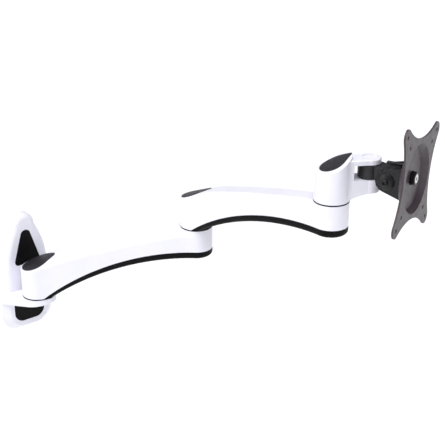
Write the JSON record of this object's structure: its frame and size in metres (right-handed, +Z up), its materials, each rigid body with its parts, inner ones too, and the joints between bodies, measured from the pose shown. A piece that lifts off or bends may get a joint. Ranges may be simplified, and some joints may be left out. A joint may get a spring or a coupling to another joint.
{
  "type": "monitor arm",
  "caption": "Wall-mounted monitor arm: two rising links on vertical pivots, a fork head, a tilting bracket and a turning dished VESA plate.",
  "frame": {"origin": "on the wall, midway between the two wall screws, on the bracket's back face", "axes": "+X straight out of the wall, +Z up, +Y to the right for someone facing the wall; the rest pose is the one in the picture"},
  "size_m": [0.4498, 0.3667, 0.3416],
  "materials": {
    "white_casting": "white powder coat, satin",
    "white_plug": "satin",
    "black_cover": "satin",
    "textured_cap": "matte",
    "black_nylon": "satin",
    "bush_plastic": "satin",
    "black_casting": "black powder coat, satin",
    "black_steel": "satin",
    "plate_steel": "satin",
    "zinc_steel": "polished"
  },
  "bodies": {
    "wall_bracket": {"wall_bracket": "white_casting", "upper_screw_cover": "black_cover", "lower_screw_cover": "black_cover", "pivot_stud_1": "black_steel", "washer_ring_1": "black_nylon", "disc_spring_1": "zinc_steel", "pivot_nut_1": "zinc_steel"},
    "arm_1": {"arm_1_shell": "white_casting", "arm_1_cable_cover": "black_cover", "arm_1_cover_screws": "zinc_steel", "arm_1_cap": "textured_cap", "lower_bush_1": "bush_plastic", "upper_bush_1": "bush_plastic", "pivot_stud_2": "black_steel", "washer_ring_2": "black_nylon", "disc_spring_2": "zinc_steel", "pivot_nut_2": "zinc_steel"},
    "arm_2": {"arm_2_shell": "white_casting", "arm_2_cable_cover": "black_cover", "arm_2_cover_screws": "zinc_steel", "arm_2_cap": "textured_cap", "lower_bush_2": "bush_plastic", "upper_bush_2": "bush_plastic", "pivot_stud_3": "black_steel", "washer_ring_3": "black_nylon", "disc_spring_3": "zinc_steel", "pivot_nut_3": "zinc_steel"},
    "head": {"fork_head": "white_casting", "fork_head_cap": "textured_cap", "lower_bush_3": "bush_plastic", "upper_bush_3": "bush_plastic", "pan_bolt": "zinc_steel", "pan_nut": "zinc_steel", "pan_bolt_plug": "white_plug", "pan_lower_washer": "black_nylon", "pan_upper_washer": "black_nylon"},
    "swivel": {"swivel_block": "black_casting", "pan_bush": "bush_plastic", "tilt_bush": "bush_plastic"},
    "tilt": {"tilt_bracket": "black_steel", "tilt_bolt": "black_steel", "tilt_bolt_washer": "black_steel", "tilt_nut_washer": "black_steel", "tilt_nut": "zinc_steel", "turn_bolt": "zinc_steel", "turn_nut": "black_steel", "turn_front_washer": "black_nylon", "turn_back_washer": "black_nylon"},
    "plate": {"vesa_plate": "plate_steel"}
  },
  "joints": [
    {"name": "wall_pivot", "type": "hinge", "parent": "wall_bracket", "child": "arm_1", "pos_m": [0.038, 0, -0.013], "axis": [0, 0, 1], "range_deg": [-146.6, 33.4]},
    {"name": "elbow_pivot", "type": "hinge", "parent": "arm_1", "child": "arm_2", "pos_m": [0.15085, 0.17114, 0.0763], "axis": [0, 0, 1], "range_deg": [-104.6, 195.4]},
    {"name": "head_pivot", "type": "hinge", "parent": "arm_2", "child": "head", "pos_m": [0.35194, 0.21096, 0.1656], "axis": [0, 0, 1], "range_deg": [-129.6, 30.4]},
    {"name": "pan_pivot", "type": "hinge", "parent": "head", "child": "swivel", "pos_m": [0.37229, 0.24736, 0.1656], "axis": [0, 0, 1], "range_deg": [-7.3, 82.7]},
    {"name": "tilt_pivot", "type": "hinge", "parent": "swivel", "child": "tilt", "pos_m": [0.39657, 0.25772, 0.1941], "axis": [-0.3923, 0.9198, 0], "range_deg": [-15, 15]},
    {"name": "plate_turn", "type": "hinge", "parent": "tilt", "child": "plate", "pos_m": [0.42334, 0.26914, 0.1974], "axis": [0.9198, 0.3923, 0], "continuous": true}
  ]
}
